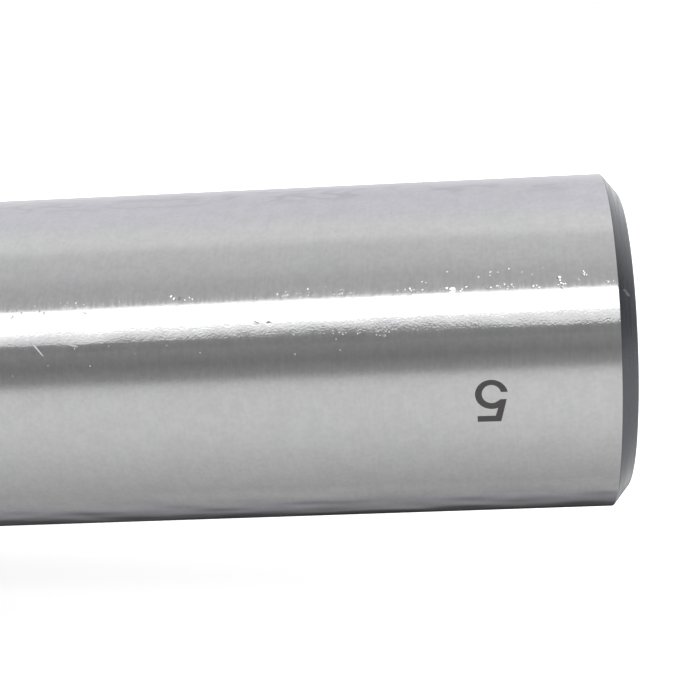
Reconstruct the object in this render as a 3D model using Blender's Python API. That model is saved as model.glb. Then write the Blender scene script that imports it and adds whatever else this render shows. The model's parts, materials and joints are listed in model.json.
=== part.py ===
"""A live center with a No. 5 Morse taper shank: a 60 degree point that turns with the work on its bearings.

Lengths are millimetres, and MM turns them into Blender's metres. X is the axis of rotation. X = 0 is the
gauge plane of the Morse taper, +X runs down the shank to its small end, and -X runs forward to the point.
Outlines are lists of (x, radius) corners, which are spun about X.
"""

from math import acos, asin, cos, pi, radians, sin, tan

import bmesh
import bpy
from mathutils import Matrix, Vector

MM = 0.001
MERGE = 1e-7
FULL_TURN = 2 * pi
QUARTER_TURN = pi / 2

# Gaps between pieces: FIT round a seat, REST between end faces, RUN round a roller, RACE_RUN round a ball
FIT = 0.25
REST = 0.25
RUN = 0.12
RACE_RUN = 0.30
POCKET_RUN = 0.35
CUT_MARGIN = 1.0

# Facets round the rings and shafts, and round the pins and holes
RING_SIDES = 40
PIN_SIDES = 12
GROOVE_STEPS = 5

# Morse taper No. 5, ISO 296, without a tang
TAPER = 1 / 19.002
GAUGE_RADIUS = 44.399 / 2
GAUGE_OFFSET = 6.5
SHANK_LENGTH = 129.5
SHANK_CHAMFER_LENGTH = 1.9
SHANK_CHAMFER_HEIGHT = 2.3

# Guarded centre hole in the small end, DIN 332 form B 6.3
CENTRE_PILOT_RADIUS = 6.3 / 2
CENTRE_PILOT_DEPTH = 14.0
CENTRE_MOUTH_RADIUS = 13.2 / 2
CENTRE_GUARD_RADIUS = 18.0 / 2
CENTRE_ANGLE = radians(60)
GUARD_ANGLE = radians(120)
DRILL_POINT = radians(118)

# Housing: the head that carries the bearings, in one piece with the shank
NECK_RADIUS = 21.3
NECK_LENGTH = 3.5
NECK_CHAMFER = 0.6
HEAD_REAR = -(GAUGE_OFFSET + NECK_LENGTH)
HEAD_LENGTH = 66.0
HEAD_FRONT = HEAD_REAR - HEAD_LENGTH
HEAD_RADIUS = 36.0
HEAD_CONE_LENGTH = 7.0
HEAD_CONE_DROP = 9.0
HEAD_CHAMFER = 1.2
THREAD_RADIUS = 32.0
THREAD_DEPTH = 10.0
TAIL_POCKET_RADIUS = 12.0
TAIL_POCKET_END = 45.0

# Front bearing: a deep groove ball bearing, 30 x 62 x 16
FRONT_BORE = 15.0
FRONT_OUTSIDE = 31.0
FRONT_WIDTH = 16.0
FRONT_BALL_RADIUS = 9.525 / 2
FRONT_PITCH = 23.0
FRONT_BALLS = 9
FRONT_INNER_SHOULDER = 20.2
FRONT_OUTER_SHOULDER = 25.8
FRONT_START = HEAD_FRONT + 11.0
FRONT_END = FRONT_START + FRONT_WIDTH
FRONT_BALL_X = (FRONT_START + FRONT_END) / 2
SHIELD_THICKNESS = 0.8
SHIELD_INSET = 0.4
SHIELD_GAP = 0.2
FRONT_CAGE_INSIDE = 20.9
FRONT_CAGE_OUTSIDE = 25.1
FRONT_CAGE_HALF_WIDTH = 5.6

# Thrust ball bearing, 25 x 47 x 15
THRUST_BORE = 12.5
THRUST_HOUSING_BORE = 13.5
THRUST_OUTSIDE = 23.5
THRUST_SHAFT_OUTSIDE = 23.2
THRUST_HEIGHT = 15.0
THRUST_BALL_RADIUS = 7.938 / 2
THRUST_PITCH = 18.0
THRUST_BALLS = 12
THRUST_GROOVE_DEPTH = 0.9
THRUST_START = HEAD_FRONT + 32.0
THRUST_END = THRUST_START + THRUST_HEIGHT
THRUST_BALL_X = (THRUST_START + THRUST_END) / 2
THRUST_CAGE_HALF_WIDTH = 1.5
THRUST_CAGE_INSIDE = 13.0
THRUST_CAGE_OUTSIDE = 22.9

# Needle roller bearing in the shank, 20 x 28 x 20
NEEDLE_JOURNAL = 10.0
NEEDLE_OUTSIDE = 14.0
NEEDLE_START = 14.0
NEEDLE_LENGTH = 20.0
NEEDLE_END = NEEDLE_START + NEEDLE_LENGTH
NEEDLE_X = (NEEDLE_START + NEEDLE_END) / 2
ROLLER_RADIUS = 1.5
ROLLER_LENGTH = 14.6
ROLLER_SIDES = 10
ROLLERS = 12
NEEDLE_PITCH = NEEDLE_JOURNAL + ROLLER_RADIUS
SHELL_LIP = 0.9
SHELL_LIP_INSIDE = 11.0
NEEDLE_CAGE_LENGTH = 17.0
NEEDLE_CAGE_INSIDE = 10.6
NEEDLE_CAGE_OUTSIDE = 12.4
SLOT_RUN = 0.12

# Spindle: the turning point, its collar and its journals
POINT_ANGLE = radians(60)
NOSE_RADIUS = 17.5
NOSE_START = -95.0
TIP_RADIUS = 0.25
TIP_X = NOSE_START - (NOSE_RADIUS - TIP_RADIUS) / tan(POINT_ANGLE / 2)
COLLAR_RADIUS = 19.0
COLLAR_START = HEAD_FRONT - 7.5
COLLAR_CHAMFER = 0.8
WAIST_RADIUS = 11.9
WAIST_START = THRUST_END + 1.5
WAIST_END = 10.0
WAIST_TAPER_LENGTH = 2.0
TAIL_END = 40.0
TAIL_CHAMFER = 0.8
TAIL_CENTRE_RADIUS = 3.4

# Cover nut, screwed into the head, with its shaft seal and O-ring
COVER_RADIUS = 35.0
COVER_FLANGE = 6.0
COVER_FRONT = HEAD_FRONT - COVER_FLANGE
COVER_BORE = COLLAR_RADIUS + 0.45
COVER_LIP = 3.5
COVER_CHAMFER = 1.2
COVER_EDGE = 0.4
SEAL_RADIUS = 26.0
SEAL_WIDTH = 7.0
SEAL_WALL = 1.6
SEAL_START = COVER_FRONT + COVER_LIP + REST
SEAL_LIP = COLLAR_RADIUS + 0.25
SPANNER_HOLES = 4
SPANNER_HOLE_RADIUS = 2.5
SPANNER_HOLE_DEPTH = 4.5
SPANNER_CIRCLE = 30.3
O_RING_WIRE = 1.0
O_RING_X = HEAD_FRONT + 1.9
O_RING_RADIUS = THREAD_RADIUS - O_RING_WIRE - 0.10
O_RING_GROOVE_FLOOR = O_RING_RADIUS - O_RING_WIRE - FIT
O_RING_GROOVE_HALF = O_RING_WIRE + FIT
GARTER_WIRE = 0.55
GARTER_RADIUS = 20.75
GARTER_X = SEAL_START + 4.9

# Retaining rings, DIN 471 on the spindle and DIN 472 in the shank's bore
SPINDLE_RING_THICKNESS = 1.5
SPINDLE_RING_WIDTH = 4.0
SPINDLE_RING_START = FRONT_END + REST
SPINDLE_RING_SEAT = 14.3
SHELL_RING_THICKNESS = 1.2
SHELL_RING_WIDTH = 2.9
SHELL_RING_START = NEEDLE_START - REST - SHELL_RING_THICKNESS
SHELL_RING_SEAT = 14.9
RING_HALF_GAP = radians(14)
RING_LUG = radians(11)
RING_STEPS = 28

# Set screws in the head: one locks the cover nut over a soft pad, one plugs the grease duct
SCREW_INSET = 0.3
SCREW_ANGLE = radians(60)
LOCK_SCREW_RADIUS = 2.0
LOCK_SCREW_LENGTH = 2.2
LOCK_SCREW_HEX = 2.0
LOCK_SCREW_X = HEAD_FRONT + 6.5
LOCK_PAD_LENGTH = 1.2
LOCK_PAD_FLOOR = THREAD_RADIUS + 0.05
GREASE_PLUG_RADIUS = 3.0
GREASE_PLUG_LENGTH = 6.0
GREASE_PLUG_HEX = 3.0
GREASE_PLUG_X = HEAD_FRONT + 31.5
GREASE_DUCT_RADIUS = 1.6


# -------------------------------------------------------------------------------------------------
# Tools


def taper_radius(x):
    """The Morse taper's radius at x."""
    return GAUGE_RADIUS - x * TAPER / 2


def arc(centre, radius, start, end, steps):
    """Points on a circle in the (x, radius) plane, from one angle to another; angle 0 points along +X."""
    x, r = centre
    angles = [start + (end - start) * i / steps for i in range(steps + 1)]
    return [(x + radius * cos(a), r + radius * sin(a)) for a in angles]


def around(angle):
    """Turns about X, from +Z towards -Y."""
    return Matrix.Rotation(angle, 4, "X")


def at(x, y, z):
    return Matrix.Translation(Vector((x, y, z)) * MM)


def shares(count):
    """The angles of pieces spaced evenly round the axis."""
    return [FULL_TURN * i / count for i in range(count)]


def material(name, colour, roughness, metallic=1.0):
    made = bpy.data.materials.new(name)
    made.use_nodes = True
    shader = made.node_tree.nodes["Principled BSDF"]
    shader.inputs["Base Color"].default_value = (*colour, 1.0)
    shader.inputs["Roughness"].default_value = roughness
    shader.inputs["Metallic"].default_value = metallic
    return made


def axle(name):
    """An empty on the axis, which a group of pieces turns with."""
    made = bpy.data.objects.new(name, None)
    bpy.context.scene.collection.objects.link(made)
    return made


def add(name, bm, finish, parent=None):
    """Makes an object of a bmesh, with its round faces shaded smooth."""
    bmesh.ops.recalc_face_normals(bm, faces=bm.faces)
    mesh = bpy.data.meshes.new(name)
    bm.to_mesh(mesh)
    bm.free()
    mesh.shade_smooth()
    mesh.set_sharp_from_angle(angle=radians(30))
    mesh.materials.append(finish)
    made = bpy.data.objects.new(name, mesh)
    bpy.context.scene.collection.objects.link(made)
    made.parent = parent
    return made


def spin(outline, sides=RING_SIDES):
    """A bmesh of the closed outline of (x, radius) corners, spun about X."""
    bm = bmesh.new()
    corners = [bm.verts.new((x * MM, 0.0, r * MM)) for x, r in outline]
    pairs = zip(corners, corners[1:] + corners[:1])
    edges = [bm.edges.new(pair) for pair in pairs if max(pair[0].co.z, pair[1].co.z) > MERGE]
    bmesh.ops.spin(
        bm,
        geom=corners + edges,
        cent=(0, 0, 0),
        axis=(1, 0, 0),
        angle=FULL_TURN,
        steps=sides,
        use_merge=True,
    )
    bmesh.ops.remove_doubles(bm, verts=bm.verts, dist=MERGE)
    return bm


def turned(name, outline, finish, parent=None):
    return add(name, spin(outline), finish, parent)


def tube(start, end, inside, outside):
    """The outline of a plain ring."""
    return [(start, outside), (end, outside), (end, inside), (start, inside)]


def cylinder(radius, length, sides=PIN_SIDES):
    """A bmesh cylinder that stands on the origin, along Z."""
    bm = bmesh.new()
    bmesh.ops.create_cone(
        bm,
        cap_ends=True,
        segments=sides,
        radius1=radius * MM,
        radius2=radius * MM,
        depth=length * MM,
        matrix=at(0, 0, length / 2),
    )
    return bm


def block(length, width, height):
    """A bmesh box about the origin, its length along X."""
    bm = bmesh.new()
    size = Matrix.Diagonal((length * MM, width * MM, height * MM, 1.0))
    bmesh.ops.create_cube(bm, size=1.0, matrix=size)
    return bm


def cut(target, name, bm, place):
    """Cuts a shape out of target; place is the matrix that puts the shape in the world."""
    cutter = add(name, bm, target.data.materials[0])
    cutter.matrix_world = place
    cutter.hide_render = True
    cutter.display_type = "WIRE"
    modifier = target.modifiers.new(name, "BOOLEAN")
    modifier.operation = "DIFFERENCE"
    modifier.object = cutter


# -------------------------------------------------------------------------------------------------
# Housing and its screws


def centre_hole_outline():
    """The guarded centre hole in the small end, from its rim to its bottom."""
    guard_end = SHANK_LENGTH - (CENTRE_GUARD_RADIUS - CENTRE_MOUTH_RADIUS) / tan(GUARD_ANGLE / 2)
    cone_end = guard_end - (CENTRE_MOUTH_RADIUS - CENTRE_PILOT_RADIUS) / tan(CENTRE_ANGLE / 2)
    pilot_end = SHANK_LENGTH - CENTRE_PILOT_DEPTH
    return [
        (SHANK_LENGTH, CENTRE_GUARD_RADIUS),
        (guard_end, CENTRE_MOUTH_RADIUS),
        (cone_end, CENTRE_PILOT_RADIUS),
        (pilot_end, CENTRE_PILOT_RADIUS),
        (pilot_end - CENTRE_PILOT_RADIUS / tan(DRILL_POINT / 2), 0.0),
    ]


def housing_outline():
    chamfer_x = SHANK_LENGTH - SHANK_CHAMFER_LENGTH
    outside = [
        (SHANK_LENGTH, taper_radius(chamfer_x) - SHANK_CHAMFER_HEIGHT),
        (chamfer_x, taper_radius(chamfer_x)),
        (-GAUGE_OFFSET, taper_radius(-GAUGE_OFFSET)),
        (-GAUGE_OFFSET - NECK_CHAMFER, NECK_RADIUS),
        (HEAD_REAR, NECK_RADIUS),
        (HEAD_REAR, HEAD_RADIUS - HEAD_CONE_DROP),
        (HEAD_REAR - HEAD_CONE_LENGTH, HEAD_RADIUS),
        (HEAD_FRONT + HEAD_CHAMFER, HEAD_RADIUS),
        (HEAD_FRONT, HEAD_RADIUS - HEAD_CHAMFER),
    ]
    front_shoulder = FRONT_END + REST
    thrust_shoulder = THRUST_END + REST
    shell_shoulder = NEEDLE_END + REST
    shell_bore = NEEDLE_OUTSIDE + FIT
    groove = SHELL_RING_SEAT + FIT
    groove_start = SHELL_RING_START - FIT
    groove_end = SHELL_RING_START + SHELL_RING_THICKNESS + FIT
    inside = [
        (HEAD_FRONT, THREAD_RADIUS + FIT),
        (HEAD_FRONT + THREAD_DEPTH, THREAD_RADIUS + FIT),
        (HEAD_FRONT + THREAD_DEPTH, FRONT_OUTSIDE + FIT),
        (front_shoulder, FRONT_OUTSIDE + FIT),
        (front_shoulder, THRUST_OUTSIDE + FIT),
        (thrust_shoulder, THRUST_OUTSIDE + FIT),
        (thrust_shoulder, shell_bore),
        (groove_start, shell_bore),
        (groove_start, groove),
        (groove_end, groove),
        (groove_end, shell_bore),
        (shell_shoulder, shell_bore),
        (shell_shoulder, TAIL_POCKET_RADIUS),
        (TAIL_POCKET_END, TAIL_POCKET_RADIUS),
        (TAIL_POCKET_END + TAIL_POCKET_RADIUS / tan(DRILL_POINT / 2), 0.0),
    ]
    return outside + inside + list(reversed(centre_hole_outline()))


def make_housing(finish):
    housing = turned("housing", housing_outline(), finish)
    lock_place = around(-SCREW_ANGLE) @ at(LOCK_SCREW_X, 0, THREAD_RADIUS - CUT_MARGIN)
    lock_depth = HEAD_RADIUS - THREAD_RADIUS + 2 * CUT_MARGIN
    cut(housing, "lock_screw_hole", cylinder(LOCK_SCREW_RADIUS + FIT, lock_depth), lock_place)
    plug_floor = HEAD_RADIUS - SCREW_INSET - GREASE_PLUG_LENGTH - REST
    plug_place = around(SCREW_ANGLE) @ at(GREASE_PLUG_X, 0, plug_floor)
    plug_depth = HEAD_RADIUS - plug_floor + CUT_MARGIN
    cut(housing, "grease_plug_hole", cylinder(GREASE_PLUG_RADIUS + FIT, plug_depth), plug_place)
    duct_place = around(SCREW_ANGLE) @ at(GREASE_PLUG_X, 0, THRUST_OUTSIDE - CUT_MARGIN)
    duct_depth = plug_floor - THRUST_OUTSIDE + 2 * CUT_MARGIN
    cut(housing, "grease_duct", cylinder(GREASE_DUCT_RADIUS, duct_depth), duct_place)


def make_set_screw(name, radius, length, hexagon, x, angle, finish):
    """A socket set screw that lies along a radius of the head, just under its surface."""
    bm = cylinder(radius, length)
    rims = [edge for edge in bm.edges if abs(edge.verts[0].co.z - edge.verts[1].co.z) < MERGE]
    bmesh.ops.bevel(bm, geom=rims, offset=radius * 0.2 * MM, segments=1, affect="EDGES")
    screw = add(name, bm, finish)
    place = around(angle) @ at(x, 0, HEAD_RADIUS - SCREW_INSET - length)
    screw.matrix_world = place
    socket = cylinder(hexagon / 2 / cos(pi / 6), length, sides=6)
    cut(screw, name + "_socket", socket, place @ at(0, 0, length * 0.45))


def make_lock_pad(finish):
    pad = add("cover_lock_pad", cylinder(LOCK_SCREW_RADIUS, LOCK_PAD_LENGTH), finish)
    pad.matrix_world = around(-SCREW_ANGLE) @ at(LOCK_SCREW_X, 0, LOCK_PAD_FLOOR)


# -------------------------------------------------------------------------------------------------
# Spindle


def make_spindle(finish, turning):
    front_seat = FRONT_BORE - FIT
    groove = SPINDLE_RING_SEAT - FIT
    groove_start = SPINDLE_RING_START - FIT
    groove_end = SPINDLE_RING_START + SPINDLE_RING_THICKNESS + FIT
    collar_end = FRONT_START - REST
    thrust_shoulder = THRUST_START - REST
    thrust_seat = THRUST_BORE - FIT
    outline = [
        (TIP_X, 0.0),
        (TIP_X, TIP_RADIUS),
        (NOSE_START, NOSE_RADIUS),
        (COLLAR_START, NOSE_RADIUS),
        (COLLAR_START, COLLAR_RADIUS - COLLAR_CHAMFER),
        (COLLAR_START + COLLAR_CHAMFER, COLLAR_RADIUS),
        (collar_end, COLLAR_RADIUS),
        (collar_end, front_seat),
        (groove_start, front_seat),
        (groove_start, groove),
        (groove_end, groove),
        (groove_end, front_seat),
        (thrust_shoulder, front_seat),
        (thrust_shoulder, thrust_seat),
        (WAIST_START, thrust_seat),
        (WAIST_START, WAIST_RADIUS),
        (WAIST_END, WAIST_RADIUS),
        (WAIST_END + WAIST_TAPER_LENGTH, NEEDLE_JOURNAL),
        (TAIL_END - TAIL_CHAMFER, NEEDLE_JOURNAL),
        (TAIL_END, NEEDLE_JOURNAL - TAIL_CHAMFER),
        (TAIL_END, TAIL_CENTRE_RADIUS),
        (TAIL_END - TAIL_CENTRE_RADIUS / tan(CENTRE_ANGLE / 2), 0.0),
    ]
    turned("spindle", outline, finish, turning)


# -------------------------------------------------------------------------------------------------
# Cover nut and seals


def make_cover(finish):
    spigot_end = FRONT_START - REST
    thread_end = HEAD_FRONT + THREAD_DEPTH - FIT
    pocket = SEAL_RADIUS + FIT
    thread = THREAD_RADIUS - FIT
    outline = [
        (COVER_FRONT + COVER_CHAMFER, COVER_RADIUS),
        (COVER_FRONT, COVER_RADIUS - COVER_CHAMFER),
        (COVER_FRONT, COVER_BORE + COVER_EDGE),
        (COVER_FRONT + COVER_EDGE, COVER_BORE),
        (COVER_FRONT + COVER_LIP, COVER_BORE),
        (COVER_FRONT + COVER_LIP, pocket),
        (spigot_end, pocket),
        (spigot_end, FRONT_OUTSIDE - FIT),
        (thread_end, FRONT_OUTSIDE - FIT),
        (thread_end, thread),
        (O_RING_X + O_RING_GROOVE_HALF, thread),
        (O_RING_X + O_RING_GROOVE_HALF, O_RING_GROOVE_FLOOR),
        (O_RING_X - O_RING_GROOVE_HALF, O_RING_GROOVE_FLOOR),
        (O_RING_X - O_RING_GROOVE_HALF, thread),
        (HEAD_FRONT - REST, thread),
        (HEAD_FRONT - REST, COVER_RADIUS - COVER_EDGE),
        (HEAD_FRONT - REST - COVER_EDGE, COVER_RADIUS),
    ]
    cover = turned("cover_nut", outline, finish)
    along_x = Matrix.Rotation(QUARTER_TURN, 4, "Y")
    for number, angle in enumerate(shares(SPANNER_HOLES), 1):
        place = around(angle) @ at(COVER_FRONT - CUT_MARGIN, 0, SPANNER_CIRCLE) @ along_x
        hole = cylinder(SPANNER_HOLE_RADIUS, SPANNER_HOLE_DEPTH + CUT_MARGIN)
        cut(cover, f"spanner_hole_{number}", hole, place)


def make_shaft_seal(finish):
    """A radial lip seal: a sleeve, a web at the front and a lip that leans back onto the collar."""
    end = SEAL_START + SEAL_WIDTH
    wall = SEAL_RADIUS - SEAL_WALL
    outline = [
        (SEAL_START, SEAL_RADIUS),
        (SEAL_START, SEAL_LIP + 1.0),
        (SEAL_START + 1.4, SEAL_LIP + 0.8),
        (SEAL_START + 3.8, SEAL_LIP),
        (SEAL_START + 5.6, SEAL_LIP + 0.9),
        (SEAL_START + 4.6, SEAL_LIP + 0.7),
        (SEAL_START + 3.8, SEAL_LIP + 1.3),
        (SEAL_START + 3.4, SEAL_LIP + 2.4),
        (SEAL_START + 1.8, SEAL_LIP + 2.6),
        (SEAL_START + 1.8, wall),
        (end, wall),
        (end, SEAL_RADIUS),
    ]
    turned("shaft_seal", outline, finish)


def make_wire_ring(name, x, radius, wire, finish):
    """A ring of round section, such as an O-ring."""
    turned(name, arc((x, radius), wire, 0, FULL_TURN, 6)[:-1], finish)


# -------------------------------------------------------------------------------------------------
# Retaining rings


def make_retaining_ring(name, start, thickness, seat, width, outward, finish, parent=None):
    """A circlip: an eccentric C that ends in two drilled lugs.

    seat is the radius of its edge in the groove. outward is 1 where the ring stands out from a shaft, and -1
    where it stands in from a bore.
    """
    bm = bmesh.new()
    seat_edge, free_edge = [], []
    for step in range(RING_STEPS + 1):
        angle = RING_HALF_GAP + (FULL_TURN - 2 * RING_HALF_GAP) * step / RING_STEPS
        from_end = min(angle, FULL_TURN - angle) - RING_HALF_GAP
        reach = width * (1.15 if from_end < RING_LUG else 0.62 + 0.38 * sin(angle / 2))
        for edge, radius in ((seat_edge, seat), (free_edge, seat + outward * reach)):
            place = Vector((start, radius * sin(angle), radius * cos(angle)))
            edge.append(bm.verts.new(place * MM))
    face = bm.faces.new(seat_edge + list(reversed(free_edge)))
    grown = bmesh.ops.extrude_face_region(bm, geom=[face])["geom"]
    far_side = [item for item in grown if isinstance(item, bmesh.types.BMVert)]
    bmesh.ops.translate(bm, verts=far_side, vec=(thickness * MM, 0, 0))
    ring = add(name, bm, finish, parent)
    along_x = Matrix.Rotation(QUARTER_TURN, 4, "Y")
    for number, side in enumerate((-1, 1), 1):
        turn = around(side * (RING_HALF_GAP + RING_LUG / 2))
        place = turn @ at(start - CUT_MARGIN, 0, seat + outward * width * 0.65) @ along_x
        cut(ring, f"{name}_hole_{number}", cylinder(width * 0.2, thickness + 2 * CUT_MARGIN, 8), place)


# -------------------------------------------------------------------------------------------------
# Bearings


def make_balls(name, count, radius, x, pitch, finish, parent):
    for number, angle in enumerate(shares(count), 1):
        bm = bmesh.new()
        bmesh.ops.create_icosphere(bm, subdivisions=2, radius=radius * MM)
        ball = add(f"{name}_{number}", bm, finish, parent)
        ball.matrix_world = around(angle) @ at(x, 0, pitch)


def make_front_bearing(finishes, turning, orbiting):
    """The deep groove ball bearing behind the collar, with a shield on each side."""
    steel, brass, cover = finishes
    centre = (FRONT_BALL_X, FRONT_PITCH)
    groove = FRONT_BALL_RADIUS + RACE_RUN
    inner = asin((FRONT_PITCH - FRONT_INNER_SHOULDER) / groove)
    outer = asin((FRONT_OUTER_SHOULDER - FRONT_PITCH) / groove)
    inner_race = [
        (FRONT_START, FRONT_INNER_SHOULDER),
        (FRONT_START, FRONT_BORE),
        (FRONT_END, FRONT_BORE),
        (FRONT_END, FRONT_INNER_SHOULDER),
        *arc(centre, groove, -inner, inner - pi, GROOVE_STEPS),
    ]
    outer_race = [
        (FRONT_START, FRONT_OUTER_SHOULDER),
        (FRONT_START, FRONT_OUTSIDE),
        (FRONT_END, FRONT_OUTSIDE),
        (FRONT_END, FRONT_OUTER_SHOULDER),
        *arc(centre, groove, outer, pi - outer, GROOVE_STEPS),
    ]
    turned("front_bearing_inner_race", inner_race, steel, turning)
    turned("front_bearing_outer_race", outer_race, steel)
    shield_starts = (FRONT_START + SHIELD_INSET, FRONT_END - SHIELD_INSET - SHIELD_THICKNESS)
    for side, start in zip(("front", "rear"), shield_starts):
        inside = FRONT_INNER_SHOULDER + SHIELD_GAP
        outside = FRONT_OUTER_SHOULDER - SHIELD_GAP
        ring = tube(start, start + SHIELD_THICKNESS, inside, outside)
        turned(f"front_bearing_{side}_shield", ring, cover)
    cage_start = FRONT_BALL_X - FRONT_CAGE_HALF_WIDTH
    cage_end = FRONT_BALL_X + FRONT_CAGE_HALF_WIDTH
    ring = tube(cage_start, cage_end, FRONT_CAGE_INSIDE, FRONT_CAGE_OUTSIDE)
    cage = turned("front_bearing_cage", ring, brass, orbiting)
    for number, angle in enumerate(shares(FRONT_BALLS), 1):
        place = around(angle) @ at(FRONT_BALL_X, 0, FRONT_CAGE_INSIDE - CUT_MARGIN)
        depth = FRONT_CAGE_OUTSIDE - FRONT_CAGE_INSIDE + 2 * CUT_MARGIN
        pocket = cylinder(FRONT_BALL_RADIUS + POCKET_RUN, depth)
        cut(cage, f"front_pocket_{number}", pocket, place)
    make_balls("front_ball", FRONT_BALLS, FRONT_BALL_RADIUS, FRONT_BALL_X, FRONT_PITCH, steel, orbiting)


def make_thrust_bearing(finishes, turning, orbiting):
    """The ball thrust bearing that takes the tailstock's push, between the spindle and the head."""
    steel, brass = finishes
    centre = (THRUST_BALL_X, THRUST_PITCH)
    groove = THRUST_BALL_RADIUS + RACE_RUN
    face = THRUST_BALL_RADIUS - THRUST_GROOVE_DEPTH
    half = acos(face / groove)
    shaft_washer = [
        (THRUST_BALL_X - face, THRUST_BORE),
        (THRUST_START, THRUST_BORE),
        (THRUST_START, THRUST_SHAFT_OUTSIDE),
        (THRUST_BALL_X - face, THRUST_SHAFT_OUTSIDE),
        *arc(centre, groove, pi - half, pi + half, GROOVE_STEPS),
    ]
    housing_washer = [
        (THRUST_BALL_X + face, THRUST_HOUSING_BORE),
        (THRUST_END, THRUST_HOUSING_BORE),
        (THRUST_END, THRUST_OUTSIDE),
        (THRUST_BALL_X + face, THRUST_OUTSIDE),
        *arc(centre, groove, half, -half, GROOVE_STEPS),
    ]
    turned("thrust_shaft_washer", shaft_washer, steel, turning)
    turned("thrust_housing_washer", housing_washer, steel)
    cage_start = THRUST_BALL_X - THRUST_CAGE_HALF_WIDTH
    cage_end = THRUST_BALL_X + THRUST_CAGE_HALF_WIDTH
    ring = tube(cage_start, cage_end, THRUST_CAGE_INSIDE, THRUST_CAGE_OUTSIDE)
    cage = turned("thrust_cage", ring, brass, orbiting)
    along_x = Matrix.Rotation(QUARTER_TURN, 4, "Y")
    for number, angle in enumerate(shares(THRUST_BALLS), 1):
        place = around(angle) @ at(cage_start - CUT_MARGIN, 0, THRUST_PITCH) @ along_x
        depth = cage_end - cage_start + 2 * CUT_MARGIN
        pocket = cylinder(THRUST_BALL_RADIUS + POCKET_RUN, depth)
        cut(cage, f"thrust_pocket_{number}", pocket, place)
    make_balls("thrust_ball", THRUST_BALLS, THRUST_BALL_RADIUS, THRUST_BALL_X, THRUST_PITCH, steel, orbiting)


def make_needle_bearing(finishes, orbiting):
    """The drawn-shell needle roller bearing that guides the spindle's tail in the shank."""
    steel, brass = finishes
    inside = NEEDLE_PITCH + ROLLER_RADIUS + RUN
    shell = [
        *tube(NEEDLE_START, NEEDLE_END, SHELL_LIP_INSIDE, NEEDLE_OUTSIDE)[:3],
        (NEEDLE_END - SHELL_LIP, SHELL_LIP_INSIDE),
        (NEEDLE_END - SHELL_LIP, inside),
        (NEEDLE_START + SHELL_LIP, inside),
        (NEEDLE_START + SHELL_LIP, SHELL_LIP_INSIDE),
        (NEEDLE_START, SHELL_LIP_INSIDE),
    ]
    turned("needle_bearing_shell", shell, steel)
    half = NEEDLE_CAGE_LENGTH / 2
    ring = tube(NEEDLE_X - half, NEEDLE_X + half, NEEDLE_CAGE_INSIDE, NEEDLE_CAGE_OUTSIDE)
    cage = turned("needle_cage", ring, brass, orbiting)
    slot_width = 2 * (ROLLER_RADIUS + SLOT_RUN)
    slot_length = ROLLER_LENGTH + 4 * SLOT_RUN
    roller = tube(-ROLLER_LENGTH / 2, ROLLER_LENGTH / 2, 0.0, ROLLER_RADIUS - RUN)
    for number, angle in enumerate(shares(ROLLERS), 1):
        place = around(angle) @ at(NEEDLE_X, 0, NEEDLE_PITCH)
        cut(cage, f"needle_slot_{number}", block(slot_length, slot_width, 2 * ROLLER_RADIUS), place)
        made = add(f"needle_roller_{number}", spin(roller, ROLLER_SIDES), steel, orbiting)
        made.matrix_world = place


def main():
    for old in list(bpy.data.objects):
        bpy.data.objects.remove(old)
    ground = material("ground_steel", (0.62, 0.62, 0.63), 0.28)
    black = material("black_oxide", (0.05, 0.052, 0.056), 0.42)
    bearing = material("bearing_steel", (0.66, 0.66, 0.67), 0.12)
    brass = material("brass", (0.71, 0.53, 0.24), 0.35)
    spring = material("spring_steel", (0.16, 0.16, 0.17), 0.35)
    rubber = material("rubber", (0.025, 0.025, 0.027), 0.75, metallic=0.0)

    turning = axle("spindle_axis")
    front_orbit = axle("front_cage_axis")
    thrust_orbit = axle("thrust_cage_axis")
    needle_orbit = axle("needle_cage_axis")

    make_housing(ground)
    make_spindle(ground, turning)
    make_cover(black)
    make_shaft_seal(rubber)
    make_wire_ring("seal_garter_spring", GARTER_X, GARTER_RADIUS, GARTER_WIRE, spring)
    make_wire_ring("cover_o_ring", O_RING_X, O_RING_RADIUS, O_RING_WIRE, rubber)
    make_front_bearing((bearing, brass, spring), turning, front_orbit)
    make_retaining_ring(
        "spindle_retaining_ring",
        SPINDLE_RING_START,
        SPINDLE_RING_THICKNESS,
        SPINDLE_RING_SEAT,
        SPINDLE_RING_WIDTH,
        1,
        spring,
        turning,
    )
    make_thrust_bearing((bearing, brass), turning, thrust_orbit)
    make_needle_bearing((bearing, brass), needle_orbit)
    make_retaining_ring(
        "needle_retaining_ring",
        SHELL_RING_START,
        SHELL_RING_THICKNESS,
        SHELL_RING_SEAT,
        SHELL_RING_WIDTH,
        -1,
        spring,
    )
    make_set_screw(
        "cover_lock_screw",
        LOCK_SCREW_RADIUS,
        LOCK_SCREW_LENGTH,
        LOCK_SCREW_HEX,
        LOCK_SCREW_X,
        -SCREW_ANGLE,
        black,
    )
    make_lock_pad(brass)
    make_set_screw(
        "grease_plug",
        GREASE_PLUG_RADIUS,
        GREASE_PLUG_LENGTH,
        GREASE_PLUG_HEX,
        GREASE_PLUG_X,
        SCREW_ANGLE,
        black,
    )


main()
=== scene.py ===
"""Looks for a live center with a No. 5 Morse taper shank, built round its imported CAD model.

Lengths are millimetres, and MM turns them into metres. X is the axis of rotation, with X = 0 at the gauge
plane of the Morse taper; +X runs to the shank's small end and -X to the point. Outlines are lists of
(x, radius) corners, each with an optional rounding, and they are revolved about X. Angles round the axis
start at -Y, where the camera is, and run upwards.
"""

import json
import random
from math import acos, asin, cos, hypot, pi, radians, sin, tan

import bmesh
import bpy
from mathutils import Matrix, Vector


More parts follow.
